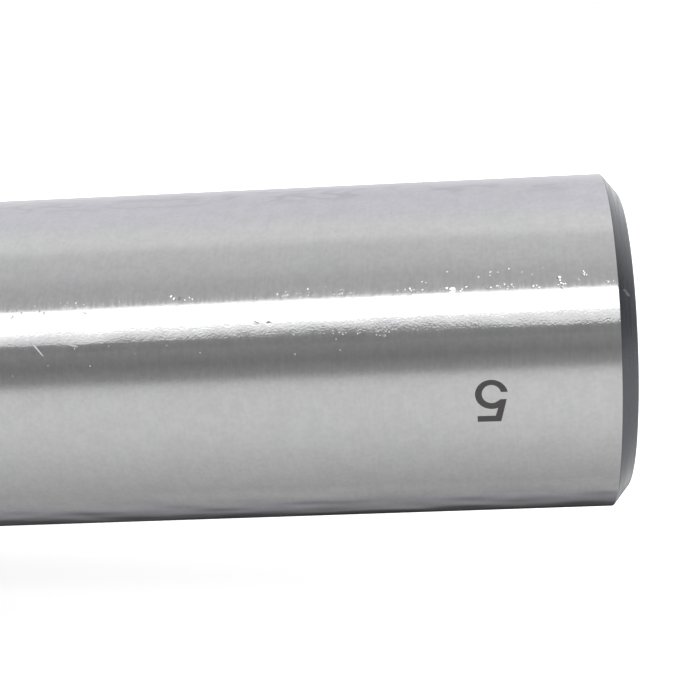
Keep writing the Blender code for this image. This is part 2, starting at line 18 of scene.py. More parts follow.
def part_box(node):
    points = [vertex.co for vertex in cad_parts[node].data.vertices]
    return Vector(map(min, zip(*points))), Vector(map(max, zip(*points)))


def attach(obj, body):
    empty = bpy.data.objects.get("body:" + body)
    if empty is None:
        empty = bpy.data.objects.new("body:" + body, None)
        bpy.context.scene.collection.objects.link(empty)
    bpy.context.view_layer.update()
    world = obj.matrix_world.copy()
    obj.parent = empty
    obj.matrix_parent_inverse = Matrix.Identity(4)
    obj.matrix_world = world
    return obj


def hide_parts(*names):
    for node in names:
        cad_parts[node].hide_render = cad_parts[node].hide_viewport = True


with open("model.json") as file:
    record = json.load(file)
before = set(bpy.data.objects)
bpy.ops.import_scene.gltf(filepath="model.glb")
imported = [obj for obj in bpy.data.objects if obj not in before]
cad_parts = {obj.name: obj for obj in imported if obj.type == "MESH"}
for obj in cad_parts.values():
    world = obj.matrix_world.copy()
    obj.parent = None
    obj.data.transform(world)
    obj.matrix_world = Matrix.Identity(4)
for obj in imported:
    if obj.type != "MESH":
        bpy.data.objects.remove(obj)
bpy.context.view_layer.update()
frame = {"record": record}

MM = 0.001
FULL_TURN = 2 * pi
QUARTER_TURN = pi / 2
SHARP = radians(35)
TINY = 1e-6

BODIES = frame["record"]["behaviour"]["bodies"]
BODY_OF = {node: body for body, nodes in BODIES.items() for node in nodes}


def span(node):
    """Where a CAD node starts and ends along X, and its largest radius."""
    low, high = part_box(node)
    return low.x / MM, high.x / MM, max(high.y, high.z) / MM


def centre(node):
    low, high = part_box(node)
    return (low + high) / 2


def half_length(node):
    """Half of a CAD node's length along X, which is a ball's radius."""
    low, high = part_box(node)
    return (high.x - low.x) / 2 / MM


# ======== Sizes ========

# Facets round turned pieces, and round small holes, screws and rollers
FINE = 256
SMALL = 48
ROUNDING_STEPS = 4

HEAD_FRONT, SHANK_END, HEAD_RADIUS = span("housing")
COVER_FRONT, COVER_REAR, COVER_RADIUS = span("cover_nut")
TIP_X, TAIL_END, COLLAR_RADIUS = span("spindle")

# Gaps between pieces, as in the CAD: FIT round a seat, REST between end faces, RUN round a needle roller, and
# RACE_RUN and POCKET_RUN round a ball
FIT = 0.25
REST = 0.25
RUN = 0.12
RACE_RUN = 0.30
POCKET_RUN = 0.35

# Morse taper No. 5
TAPER = 1 / 19.002
GAUGE_RADIUS = 44.399 / 2
GAUGE_OFFSET = 6.5
CHAMFER_X = SHANK_END - 1.8
CHAMFER_HEIGHT = 2.3

# Bearing bores and the edges of retaining rings, where they meet their seats
FRONT_BORE = 15.0
THRUST_BORE = 12.5
SPINDLE_RING_SEAT = 14.3
NEEDLE_RING_SEAT = 14.9

# Drill points, 60 degree centres and their 120 degree guards
DRILL_POINT = radians(118)
CENTRE_ANGLE = radians(60)
GUARD_ANGLE = radians(120)


def taper_radius(x):
    return GAUGE_RADIUS - x * TAPER / 2


# ======== Shapes ========


def rounded(corners):
    """An outline's points, with each (x, radius, rounding) corner turned into an arc."""
    points = []
    for before, here, after in zip(corners[-1:] + corners[:-1], corners, corners[1:] + corners[:1]):
        corner = Vector(here[:2])
        rounding = here[2] if len(here) > 2 else 0
        if rounding == 0:
            points.append(tuple(corner))
            continue
        back = (Vector(before[:2]) - corner).normalized()
        on = (Vector(after[:2]) - corner).normalized()
        half = back.angle(on) / 2
        centre = corner + (back + on).normalized() * rounding / sin(half)
        start = corner + back * rounding / tan(half) - centre
        turn = start.angle_signed(corner + on * rounding / tan(half) - centre)
        for step in range(ROUNDING_STEPS + 1):
            points.append(tuple(centre + Matrix.Rotation(-turn * step / ROUNDING_STEPS, 2) @ start))
    return points


def arc(centre, radius, start, end, steps):
    """Points on a circle in the (x, radius) plane; angle 0 points along +X."""
    x, r = centre
    angles = [start + (end - start) * i / steps for i in range(steps + 1)]
    return [(x + radius * cos(a), r + radius * sin(a)) for a in angles]


def shares(count):
    """The angles of things spaced evenly round a circle."""
    return [FULL_TURN * i / count for i in range(count)]


def bridge(bm, near, far):
    """Faces between two rings of vertices. A ring that is one vertex repeated gives triangles."""
    for i in range(len(near)):
        j = (i + 1) % len(near)
        corners = [near[i], near[j], far[j], far[i]]
        bm.faces.new(sorted(set(corners), key=corners.index))


def revolve(outline, sides):
    """A bmesh of an outline revolved about X. It is closed, unless it starts and ends on the axis."""
    bm = bmesh.new()
    rings = []
    for x, r in outline:
        if r < TINY:
            rings.append([bm.verts.new((x * MM, 0, 0))] * sides)
            continue
        rings.append([bm.verts.new((x * MM, -r * sin(a) * MM, r * cos(a) * MM)) for a in shares(sides)])
    open_ends = outline[0][1] < TINY and outline[-1][1] < TINY
    pairs = list(zip(rings, rings[1:])) + ([] if open_ends else [(rings[-1], rings[0])])
    for near, far in pairs:
        bridge(bm, near, far)
    bmesh.ops.recalc_face_normals(bm, faces=bm.faces)
    return bm


def thread(start, end, root, crest, pitch):
    """The corners of a V thread's ridges, from start to end."""
    turns = round(abs(end - start) / pitch)
    step = (end - start) / turns
    ridges = []
    for i in range(turns):
        ridges += [(start + i * step, root), (start + (i + 0.5) * step, crest)]
    return ridges + [(end, root)]


def ring_groove(node, edge, floor):
    """The corners of a retaining ring's groove, from front to rear."""
    start, end, _ = span(node)
    return [(start - FIT, edge, 0.1), (start - FIT, floor), (end + FIT, floor), (end + FIT, edge, 0.1)]


def around(angle):
    """Turns about X, so that what stood along +Z points at that angle from -Y upwards."""
    return Matrix.Rotation(QUARTER_TURN - angle, 4, "X")


def at(x, y, z):
    return Matrix.Translation(Vector((x, y, z)) * MM)


def facing_out(angle, x, radius):
    """Puts an origin at x and radius, with its X axis pointing out from the axis of rotation."""
    return around(angle) @ at(x, 0, radius) @ Matrix.Rotation(-QUARTER_TURN, 4, "Y")


def facing_front(angle, x, radius):
    """Puts an origin at x and radius, with its X axis pointing to the front, towards the point."""
    return around(angle) @ at(x, 0, radius) @ Matrix.Rotation(pi, 4, "Z")


def hole(radius, depth, sides=SMALL, mouth=0.0, pointed=False):
    """A cutter from the origin along -X, with a countersunk mouth and, if asked for, a drill's point."""
    floor = -depth - radius / tan(DRILL_POINT / 2) if pointed else -depth
    above = 1.0
    outline = [(floor, 0), (-depth, radius), (-mouth, radius)]
    rim = [(mouth, radius + 2 * mouth)] if mouth else []
    return revolve(outline + rim + [(above, radius + 2 * mouth), (above, 0)], sides)


def mesh_from(name, bm):
    mesh = bpy.data.meshes.new(name)
    bm.to_mesh(mesh)
    bm.free()
    return mesh


def add_object(name, data):
    made = bpy.data.objects.new(name, data)
    bpy.context.scene.collection.objects.link(made)
    return made


def mesh_object(name, bm):
    return add_object(name, mesh_from(name, bm))


def drill(target, cutters):
    """Cuts shapes, given as (bmesh, place), out of target."""
    holes = []
    for number, (bm, place) in enumerate(cutters):
        cutter = mesh_object(f"{target.name}_hole_{number}", bm)
        cutter.matrix_world = place
        modifier = target.modifiers.new(cutter.name, "BOOLEAN")
        modifier.object = cutter
        holes.append(cutter)
    bpy.context.view_layer.update()
    bm = bmesh.new()
    bm.from_object(target, bpy.context.evaluated_depsgraph_get())
    bmesh.ops.dissolve_degenerate(bm, edges=bm.edges, dist=TINY)
    bmesh.ops.remove_doubles(bm, verts=bm.verts, dist=TINY)
    bmesh.ops.holes_fill(bm, edges=[edge for edge in bm.edges if edge.is_boundary], sides=4)
    bm.to_mesh(target.data)
    bm.free()
    target.modifiers.clear()
    for cutter in holes:
        bpy.data.objects.remove(cutter)


def finish_piece(made, finishes, node=None, which=None):
    """Gives an object its shading, its materials and its body, and hides the CAD node that it stands for."""
    mesh = made.data
    mesh.shade_smooth()
    mesh.set_sharp_from_angle(angle=SHARP)
    mesh.materials.clear()
    for finish in finishes:
        mesh.materials.append(finish)
    if which:
        for face in mesh.polygons:
            x, y, z = face.center / MM
            face.material_index = which(x, hypot(y, z))
    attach(made, BODY_OF[node or "housing"])
    if node:
        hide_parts(node)


def finish_skin(name, bm, finish, node=None):
    """Turns a skin that was built face by face into a piece, with its faces pointing out."""
    bmesh.ops.recalc_face_normals(bm, faces=bm.faces)
    finish_piece(mesh_object(name, bm), (finish,), node)


def turned(node, outline, finishes, which=None, cutters=()):
    """A turned piece that stands for a CAD node."""
    made = mesh_object(node + "_fine", revolve(outline, FINE))
    if cutters:
        drill(made, cutters)
    finish_piece(made, finishes, node, which=which)


# ======== Finishes ========


class Nodes:
    """Adds nodes to a tree, and links or sets what they are given."""

    def __init__(self, tree):
        self.tree = tree

    def node(self, kind, settings=None, *values, **named):
        """Adds a node, and feeds its first sockets in their order and others by name."""
        made = self.tree.nodes.new(kind)
        for setting, value in (settings or {}).items():
            setattr(made, setting, value)
        sockets = [made.inputs[name.replace("_", " ")] for name in named]
        for socket, value in [*zip(made.inputs, values), *zip(sockets, named.values())]:
            self.feed(socket, value)
        return made

    def feed(self, socket, value):
        if isinstance(value, bpy.types.NodeSocket):
            self.tree.links.new(value, socket)
        else:
            socket.default_value = value

    def math(self, operation, *values):
        return self.node("ShaderNodeMath", {"operation": operation}, *values).outputs[0]

    def times(self, one, other):
        return self.math("MULTIPLY", one, other)

    def vector_math(self, operation, *values):
        return self.node("ShaderNodeVectorMath", {"operation": operation}, *values)

    def between(self, value, low, high, to_low=0.0, to_high=1.0, smooth=True):
        """Maps a value from one range to another, and holds it at the ends."""
        settings = {"interpolation_type": "SMOOTHSTEP" if smooth else "LINEAR"}
        return self.node("ShaderNodeMapRange", settings, value, low, high, to_low, to_high).outputs[0]

    def band(self, value, start, full, still_full, end):
        """1 between full and still_full, falling to 0 at start and at end."""
        return self.times(self.between(value, start, full), self.between(value, still_full, end, 1.0, 0.0))

    def colour(self, factor, low, high):
        mix = self.node("ShaderNodeMix", {"data_type": "RGBA"}, factor)
        for socket, value in ((mix.inputs[6], low), (mix.inputs[7], high)):
            self.feed(socket, value if isinstance(value, bpy.types.NodeSocket) else (*value, 1.0))
        return mix.outputs[2]


class Finish(Nodes):
    """A material whose patterns run round the X axis, as turning and grinding marks do."""

    def __init__(self, name, metallic, slot=None, **sockets):
        self.material = bpy.data.materials.new(name)
        self.material["slot"] = slot or name
        self.material.use_nodes = True
        super().__init__(self.material.node_tree)
        self.shader = self.tree.nodes["Principled BSDF"]
        self.use(Metallic=metallic, **sockets)
        self.place = self.node("ShaderNodeTexCoord").outputs["Object"]
        self.x, y, z = self.node("ShaderNodeSeparateXYZ", Vector=self.place).outputs
        across = self.node("ShaderNodeCombineXYZ", Y=y, Z=z).outputs[0]
        self.radius = self.vector_math("LENGTH", across).outputs["Value"]
        self.outward = self.vector_math("NORMALIZE", across).outputs["Vector"]
        self.angle = self.math("ARCTAN2", z, self.times(y, -1.0))

    def use(self, **sockets):
        for socket, value in sockets.items():
            self.feed(self.shader.inputs[socket.replace("_", " ")], value)

    def marks(self, pitch, strokes, detail=2.0):
        """Marks round the axis, pitch millimetres apart, with about that many strokes in a turn."""
        along = self.node("ShaderNodeCombineXYZ", X=self.math("DIVIDE", self.x, pitch * MM)).outputs[0]
        spread = self.vector_math("MULTIPLY", self.outward, (strokes / FULL_TURN,) * 3).outputs[0]
        vector = self.vector_math("ADD", along, spread).outputs[0]
        turned = self.math("DIVIDE", self.radius, pitch * MM)
        settings = {"noise_dimensions": "4D"}
        noise = self.node("ShaderNodeTexNoise", settings, Vector=vector, W=turned, Scale=1.0, Detail=detail)
        return noise.outputs["Fac"]

    def cloud(self, size, detail=3.0, roughness=0.5, stretch=1.0):
        """Patches of about that size; stretch makes them longer along the axis."""
        place = self.vector_math("MULTIPLY", self.place, (1 / stretch, 1.0, 1.0)).outputs[0]
        look = {"Scale": 1 / (size * MM), "Detail": detail, "Roughness": roughness}
        return self.node("ShaderNodeTexNoise", Vector=place, **look).outputs["Fac"]

    def bump(self, height, depth, normal=None):
        """A bump whose height from 0 to 1 stands for a depth in micrometres."""
        made = self.node("ShaderNodeBump", Height=height, Distance=depth * MM * MM, Strength=1.0)
        if normal is not None:
            self.feed(made.inputs["Normal"], normal)
        return made.outputs[0]

    def vary(self, patches, low, high, pattern, smooth, rough, **sockets):
        """Varies the colour with patches and the roughness with a pattern, and returns the material."""
        self.use(Base_Color=self.colour(patches, low, high))
        self.use(Roughness=self.between(pattern, 0.3, 0.7, smooth, rough), **sockets)
        return self.material

    def brushed(self):
        """Stretches highlights along the axis, across the marks."""
        tangent = self.node("ShaderNodeTangent", {"direction_type": "RADIAL", "axis": "X"})
        self.use(Tangent=tangent.outputs[0])


# The oil film on the taper is creased along its top, beaded along its front and wavy along its bottom
CREASED = [radians(a) for a in (74, 82, 91, 97)]
BEADED = [radians(a) for a in (22, 25, 29, 32.5)]
WAVY = [radians(a) for a in (-72, -56, -38, -27)]


def ground_steel():
    """Bright ground steel under a thin film of clear oil."""
    made = Finish("ground_steel", 1.0, Anisotropic=0.5, Anisotropic_Rotation=0.25)
    made.use(Coat_Weight=0.25, Coat_Roughness=0.08, Coat_IOR=1.46)
    made.brushed()
    marks = made.marks(0.22, 60, detail=3.0)
    streaks = made.marks(0.5, 16)
    grain = made.cloud(0.5, detail=2.0, roughness=0.6)
    patches = made.cloud(6.0)
    shade = made.math("MULTIPLY_ADD", grain, 0.4, made.times(marks, 0.2))
    shade = made.math("MULTIPLY_ADD", streaks, 0.1, shade)
    shade = made.math("MULTIPLY_ADD", made.cloud(1.6, detail=2.0), 0.3, shade)
    dull = made.colour(patches, (0.563, 0.575, 0.567), (0.572, 0.565, 0.583))
    bright = made.colour(patches, (0.619, 0.631, 0.623), (0.628, 0.62, 0.639))
    made.use(Roughness=made.between(marks, 0.3, 0.7, 0.11, 0.16))
    normal = made.bump(grain, 2.6, made.bump(marks, 0.6))
    on_shank = made.between(made.x, 0.0, 0.09)
    zones = [made.times(made.band(made.angle, *zone), on_shank) for zone in (CREASED, BEADED, WAVY)]
    creased, beaded, wavy = zones
    normal = made.bump(made.times(made.cloud(0.2, detail=1.0), beaded), 8.0, normal)
    normal = made.bump(made.times(made.cloud(5.0, detail=1.0), beaded), 60.0, normal)
    waves = made.times(made.cloud(4.0, detail=1.0, stretch=2.5), wavy)
    normal = made.bump(waves, 400.0, normal)
    creased = made.times(creased, made.between(made.cloud(7.0, detail=1.0), 0.42, 0.58))
    folds = made.math("ABSOLUTE", made.math("SUBTRACT", made.cloud(2.6, detail=1.0, stretch=2.6), 0.5))
    # Painted shade: along the creases the steel's colour is darkened, besides the creases' own bump
    creases_and_painted_shade = made.times(made.between(folds, 0.0, 0.09, 1.0, 0.0), creased)
    steel = made.colour(made.between(shade, 0.36, 0.64), dull, bright)
    made.use(Base_Color=made.colour(made.times(creases_and_painted_shade, 0.4), steel, (0.34, 0.34, 0.36)))
    made.use(Normal=made.bump(creases_and_painted_shade, 14.0, normal))
    film = made.bump(made.cloud(3.2, detail=2.0, roughness=0.4), 40.0)
    made.use(Coat_Normal=made.bump(waves, 300.0, film))
    return made.material


def black_oxide():
    """Turned steel with a satin black oxide skin."""
    made = Finish("black_oxide", 0.0, IOR=2.3, Specular_Tint=(0.88, 0.92, 1.0, 1.0))
    marks = made.marks(0.3, 20)
    made.use(Normal=made.bump(made.cloud(0.15, detail=1.0), 1.5, made.bump(marks, 3.0)))
    return made.vary(made.cloud(4.0), (0.013, 0.014, 0.017), (0.024, 0.026, 0.032), marks, 0.24, 0.36)


def machined(made, pitch, strokes, depth, patch_size, low, high, smooth, rough):
    """A bare metal with tool marks of that depth, and patches from a low to a high colour."""
    marks = made.marks(pitch, strokes)
    normal = made.bump(marks, depth)
    return made.vary(made.cloud(patch_size), low, high, marks, smooth, rough, Normal=normal)


def bored_steel():
    """Bare turned steel, in bores and on the head's cone, with coarser marks."""
    made = Finish("bored_steel", 1.0, slot="ground_steel")
    return machined(made, 0.35, 12, 4.0, 6.0, (0.3, 0.3, 0.31), (0.42, 0.42, 0.43), 0.28, 0.42)


def bearing_steel():
    """Hardened steel, polished."""
    made = Finish("bearing_steel", 1.0)
    return machined(made, 0.12, 20, 0.3, 4.0, (0.6, 0.6, 0.61), (0.67, 0.67, 0.68), 0.05, 0.11)


def brass():
    made = Finish("brass", 1.0)
    return machined(made, 0.25, 14, 1.5, 5.0, (0.62, 0.43, 0.17), (0.74, 0.55, 0.26), 0.2, 0.36)


def spring_steel():
    """Blued spring steel."""
    made = Finish("spring_steel", 1.0)
    patches = made.cloud(1.5)
    made.use(Normal=made.bump(made.cloud(0.2), 1.5))
    return made.vary(patches, (0.09, 0.095, 0.11), (0.16, 0.165, 0.18), patches, 0.28, 0.42)


def rubber():
    made = Finish("rubber", 0.0, IOR=1.52)
    grain = made.cloud(0.18)
    made.use(Normal=made.bump(grain, 6.0))
    return made.vary(made.cloud(3.0), (0.014, 0.014, 0.015), (0.03, 0.03, 0.032), grain, 0.5, 0.68)


def etched_mark():
    """The dark skin that a laser leaves on ground steel."""
    made = Finish("etched_mark", 0.35, slot="black_oxide", IOR=1.6)
    grain = made.cloud(0.12)
    made.use(Normal=made.bump(grain, 2.0))
    return made.vary(grain, (0.038, 0.036, 0.035), (0.068, 0.064, 0.062), grain, 0.45, 0.6)


def oil():
    """Clear preservative oil. It has no slot, because no CAD node is made of it."""
    made = Finish("oil", 0.0, IOR=1.46, Transmission_Weight=1.0)
    grain = made.cloud(0.3)
    return made.vary(made.cloud(2.0), (0.93, 0.94, 0.9), (0.98, 0.98, 0.96), grain, 0.01, 0.06)


GROUND = ground_steel()
BLACK = black_oxide()
BORED = bored_steel()
BEARING = bearing_steel()
BRASS = brass()
SPRING = spring_steel()
RUBBER = rubber()
ETCHED = etched_mark()
OIL = oil()

# ======== Housing and its screws ========

HEAD_REAR = -10.0
NECK_RADIUS = 21.3
CONE_LENGTH = 7.0
CONE_DROP = 9.0
HEAD_CHAMFER = 1.2
THREAD_RADIUS = 32.0
THREAD_DEPTH = 0.8
THREAD_PITCH = 1.5
THREAD_END = HEAD_FRONT + 10.0
POCKET_RADIUS = 12.0
POCKET_END = 45.0
PILOT_RADIUS = 3.15
PILOT_DEPTH = 14.0
MOUTH_RADIUS = 6.6
GUARD_RADIUS = 9.0

# Bores lie within these radii, and the outside beyond them
SHANK_BORES = 16.0
END_BORES = 9.5

LOCK_ANGLE = radians(150)
PLUG_ANGLE = radians(30)
SCREW_INSET = 0.3
LOCK_RADIUS = 2.0
PLUG_RADIUS = 3.0
PLUG_LENGTH = 6.0
DUCT_RADIUS = 1.6


def bore_outline():
    """The housing's bores, from the drilled end of the pocket to the thread's mouth."""
    front_end = span("front_bearing_outer_race")[1] + REST
    thrust_end = span("thrust_housing_washer")[1] + REST
    shell_end = span("needle_bearing_shell")[1] + REST
    front = span("front_bearing_outer_race")[2] + FIT
    thrust = span("thrust_housing_washer")[2] + FIT
    shell = span("needle_bearing_shell")[2] + FIT
    root = THREAD_RADIUS + FIT
    crest = THREAD_RADIUS + THREAD_DEPTH
    return [
        (POCKET_END + POCKET_RADIUS / tan(DRILL_POINT / 2), 0),
        (POCKET_END, POCKET_RADIUS),
        (shell_end, POCKET_RADIUS, 0.3),
        (shell_end, shell, 0.2),
        *reversed(ring_groove("needle_retaining_ring", shell, span("needle_retaining_ring")[2] + FIT)),
        (thrust_end, shell, 0.4),
        (thrust_end, thrust, 0.2),
        (front_end, thrust, 0.4),
        (front_end, front, 0.2),
        (THREAD_END, front, 0.2),
        (THREAD_END, root),
        *thread(THREAD_END - 1.0, HEAD_FRONT + 3.0, root, crest, THREAD_PITCH),
        (HEAD_FRONT, root, 0.3),
    ]


def head_outline():
    """The head's outside, from its front to the neck. Rows beside the screws' holes keep its shading even."""
    beside_lock = [centre("cover_lock_screw").x / MM + side * 3.2 for side in (-1, 1)]
    beside_plug = [centre("grease_plug").x / MM + side * 4.4 for side in (-1, 1)]
    return [
        (HEAD_FRONT, HEAD_RADIUS - HEAD_CHAMFER, 0.25),
        (HEAD_FRONT + HEAD_CHAMFER, HEAD_RADIUS, 0.25),
        *[(x, HEAD_RADIUS) for x in beside_lock + beside_plug],
        (HEAD_REAR - CONE_LENGTH, HEAD_RADIUS, 0.5),
        (HEAD_REAR, HEAD_RADIUS - CONE_DROP, 0.6),
        (HEAD_REAR, NECK_RADIUS, 0.9),
        (-GAUGE_OFFSET - 0.6, NECK_RADIUS, 0.3),
    ]


def shank_outline():
    """The taper, its chamfered end, and the guarded centre hole."""
    guard_end = SHANK_END - (GUARD_RADIUS - MOUTH_RADIUS) / tan(GUARD_ANGLE / 2)
    cone_end = guard_end - (MOUTH_RADIUS - PILOT_RADIUS) / tan(CENTRE_ANGLE / 2)
    pilot_end = SHANK_END - PILOT_DEPTH
    return [
        (-GAUGE_OFFSET, taper_radius(-GAUGE_OFFSET), 0.2),
        (CHAMFER_X, taper_radius(CHAMFER_X), 0.2),
        (SHANK_END, taper_radius(CHAMFER_X) - CHAMFER_HEIGHT, 0.8),
        (SHANK_END, GUARD_RADIUS, 0.15),
        (guard_end, MOUTH_RADIUS, 0.1),
        (cone_end, PILOT_RADIUS, 0.2),
        (pilot_end, PILOT_RADIUS),
        (pilot_end - PILOT_RADIUS / tan(DRILL_POINT / 2), 0),
    ]


def housing_finish(x, radius):
    """0 is ground, 1 black oxide and 2 turned or bored."""
    on_barrel = radius > HEAD_RADIUS - 0.03
    on_taper = -GAUGE_OFFSET < x < CHAMFER_X and radius > taper_radius(x) - 0.01
    if on_barrel or on_taper:
        return 0
    on_cone = HEAD_REAR - CONE_LENGTH - 0.5 < x < HEAD_REAR - 0.3
    in_head = x < HEAD_REAR and radius < THREAD_RADIUS + THREAD_DEPTH + FIT
    bores = SHANK_BORES if x < SHANK_END - PILOT_DEPTH - 5 else END_BORES
    in_shank = HEAD_REAR <= x < SHANK_END - 0.1 and radius < bores
    return 2 if on_cone or in_head or in_shank else 1


def make_housing():
    lock_x = centre("cover_lock_screw").x / MM
    plug_x = centre("grease_plug").x / MM
    plug_start = HEAD_RADIUS - SCREW_INSET - PLUG_LENGTH - REST
    plug_depth = HEAD_RADIUS - plug_start
    cutters = [
        (hole(LOCK_RADIUS + FIT, 5.5, mouth=0.3), facing_out(LOCK_ANGLE, lock_x, HEAD_RADIUS)),
        (hole(PLUG_RADIUS + FIT, plug_depth, mouth=0.35), facing_out(PLUG_ANGLE, plug_x, HEAD_RADIUS)),
        (hole(DUCT_RADIUS, 9.0), facing_out(PLUG_ANGLE, plug_x, plug_start + 0.5)),
    ]
    outline = rounded(bore_outline() + head_outline() + shank_outline())
    turned("housing", outline, (GROUND, BLACK, BORED), which=housing_finish, cutters=cutters)


def make_screw(node, angle, radius, length, hexagon, pitch):
    """A socket set screw that lies along a radius of the head."""
    x = centre(node).x / MM
    top = HEAD_RADIUS - SCREW_INSET
    root = radius - 0.45 * pitch
    outline = [(-length, 0), (-length, root - 0.4)]
    outline += thread(-length + 0.5, -0.35, root, radius, pitch)
    outline += [(0, root - 0.1), (0, 0)]
    made = mesh_object(node + "_fine", revolve(outline, SMALL))
    made.matrix_world = facing_out(angle, x, top)
    socket = hole(hexagon / 2 / cos(pi / 6), length * 0.55, sides=6, mouth=0.08, pointed=True)
    drill(made, [(socket, made.matrix_world)])
    finish_piece(made, (BLACK,), node)


def make_lock_pad():
    node = "cover_lock_pad"
    thickness = 1.2
    outline = rounded([(0, 0), (0, LOCK_RADIUS, 0.2), (thickness, LOCK_RADIUS, 0.2), (thickness, 0)])
    made = mesh_object(node + "_fine", revolve(outline, SMALL))
    made.matrix_world = facing_out(LOCK_ANGLE, centre(node).x / MM, THREAD_RADIUS + 0.05)
    finish_piece(made, (BRASS,), node)


make_housing()
make_screw("cover_lock_screw", LOCK_ANGLE, LOCK_RADIUS, length=2.2, hexagon=2.0, pitch=0.7)
make_screw("grease_plug", PLUG_ANGLE, PLUG_RADIUS, PLUG_LENGTH, hexagon=3.0, pitch=1.0)
make_lock_pad()

# ======== What lies on the taper: its size mark, drops of oil and small scratches ========

# The camera sees the taper from this angle round the axis
VIEW_ANGLE = radians(20)

# How far drops and scratches reach under the surface
BASE_DEPTH = 0.03


def on_taper(x, arc_up, height=0.0):
    """A point on the taper, arc_up millimetres round it from the line that faces the camera."""
    r = taper_radius(x)
    angle = VIEW_ANGLE + arc_up / r
    return Vector((x, -(r + height) * cos(angle), (r + height) * sin(angle)))


def strip(bm, left, right):
    """Flat faces between two rows of points, each cut across so that it can bend."""
    cuts = 2
    rows = []
    for a, b in zip(left, right):
        rows.append([bm.verts.new((*Vector(a).lerp(Vector(b), i / cuts), 0)) for i in range(cuts + 1)])
    for near, far in zip(rows, rows[1:]):
        for i in range(cuts):
            bm.faces.new((near[i], near[i + 1], far[i + 1], far[i]))


def between_points(start, end, steps):
    return [tuple(Vector(start).lerp(Vector(end), i / steps)) for i in range(steps + 1)]


MARK_X = 115.27
MARK_ARC = -5.6
MARK_THICKNESS = 0.015


def make_size_mark():
    """The taper's size, a plain sans-serif 5, 4.3 mm high and upside down when the shank points right."""
    outer = [(1.07 * x - 0.02, y) for x, y in arc((0, -0.65), 1.49, radians(112), radians(-170.7), 40)]
    inner = [(-0.85, -0.14), (-0.7, -0.02), *arc((-0.02, -0.7), 0.93, radians(125), radians(-168.2), 38)]
    bar_top = between_points((1.44, 2.2), (-0.85, 2.2), 8)
    bar_foot = between_points((1.44, 1.58), (-0.34, 1.58), 8)
    stem_out = between_points(bar_top[-1], (-1.47, -0.15), 8)
    stem_in = between_points(bar_foot[-1], outer[0], 6) + between_points(outer[0], inner[0], 2)[1:]
    bm = bmesh.new()
    strip(bm, bar_top, bar_foot)
    strip(bm, stem_out, stem_in)
    strip(bm, outer, inner)
    bmesh.ops.remove_doubles(bm, verts=bm.verts, dist=0.01)
    bmesh.ops.recalc_face_normals(bm, faces=bm.faces)
    if bm.faces[0].normal.z > 0:
        bmesh.ops.reverse_faces(bm, faces=bm.faces)
    skin = bmesh.ops.extrude_face_region(bm, geom=bm.faces[:])["geom"]
    raised = {v for v in skin if isinstance(v, bmesh.types.BMVert)}
    for vert in bm.verts:
        height = MARK_THICKNESS if vert in raised else -2 * MARK_THICKNESS
        vert.co = on_taper(MARK_X - vert.co.x, MARK_ARC - vert.co.y, height) * MM
    finish_skin("size_mark", bm, ETCHED)


def on_chamfer(along, arc_up, height=0.0):
    """A point on the end chamfer, at a distance along it from the taper, and arc_up as on the taper."""
    width = SHANK_END - CHAMFER_X
    slope = Vector((width, -CHAMFER_HEIGHT)).normalized()
    x = CHAMFER_X + along * slope.x - height * slope.y
    r = taper_radius(CHAMFER_X) + along * slope.y + height * slope.x
    angle = VIEW_ANGLE + arc_up / r
    return Vector((x, -r * cos(angle), r * sin(angle)))


def tube(bm, rings):
    """Joins rings of points into a closed skin."""
    rings = [[bm.verts.new(point * MM) for point in ring] for ring in rings]
    for near, far in zip(rings, rings[1:]):
        bridge(bm, near, far)
    bm.faces.new(rings[0])
    bm.faces.new(rings[-1])


def add_drop(bm, x, arc_up, radius):
    """A round drop that bulges from the taper, with its base just under the surface."""
    height = min(0.38 * radius, 0.06)
    rings = []
    for share in (1.0, 1.0, 0.94, 0.82, 0.64, 0.42, 0.18):
        lift = height * (1 - share * share) if rings else -BASE_DEPTH
        reach = radius * share
        points = [(x + reach * cos(a), arc_up + reach * sin(a)) for a in shares(14)]
        rings.append([on_taper(*point, lift) for point in points])
    tube(bm, rings)


def add_ridge(bm, surface, start, end, width, height):
    """A thin ridge between two points of a surface, such as a burr or a fibre, that narrows at its ends."""
    start, end = Vector(start), Vector(end)
    across = (end - start).normalized().orthogonal()
    rings = []
    for i in range(11):
        share = i / 10
        reach = 0.25 + 0.75 * sin(pi * share) ** 0.5
        middle = start.lerp(end, share)
        ring = []
        for side in (-1, -0.6, -0.2, 0.2, 0.6, 1):
            point = middle + across * side * reach * width / 2
            ring.append(surface(*point, height * reach * (1 - side * side)))
        for side in (1, -1):
            ring.append(surface(*(middle + across * side * reach * width / 2), -BASE_DEPTH))
        rings.append(ring)
    tube(bm, rings)


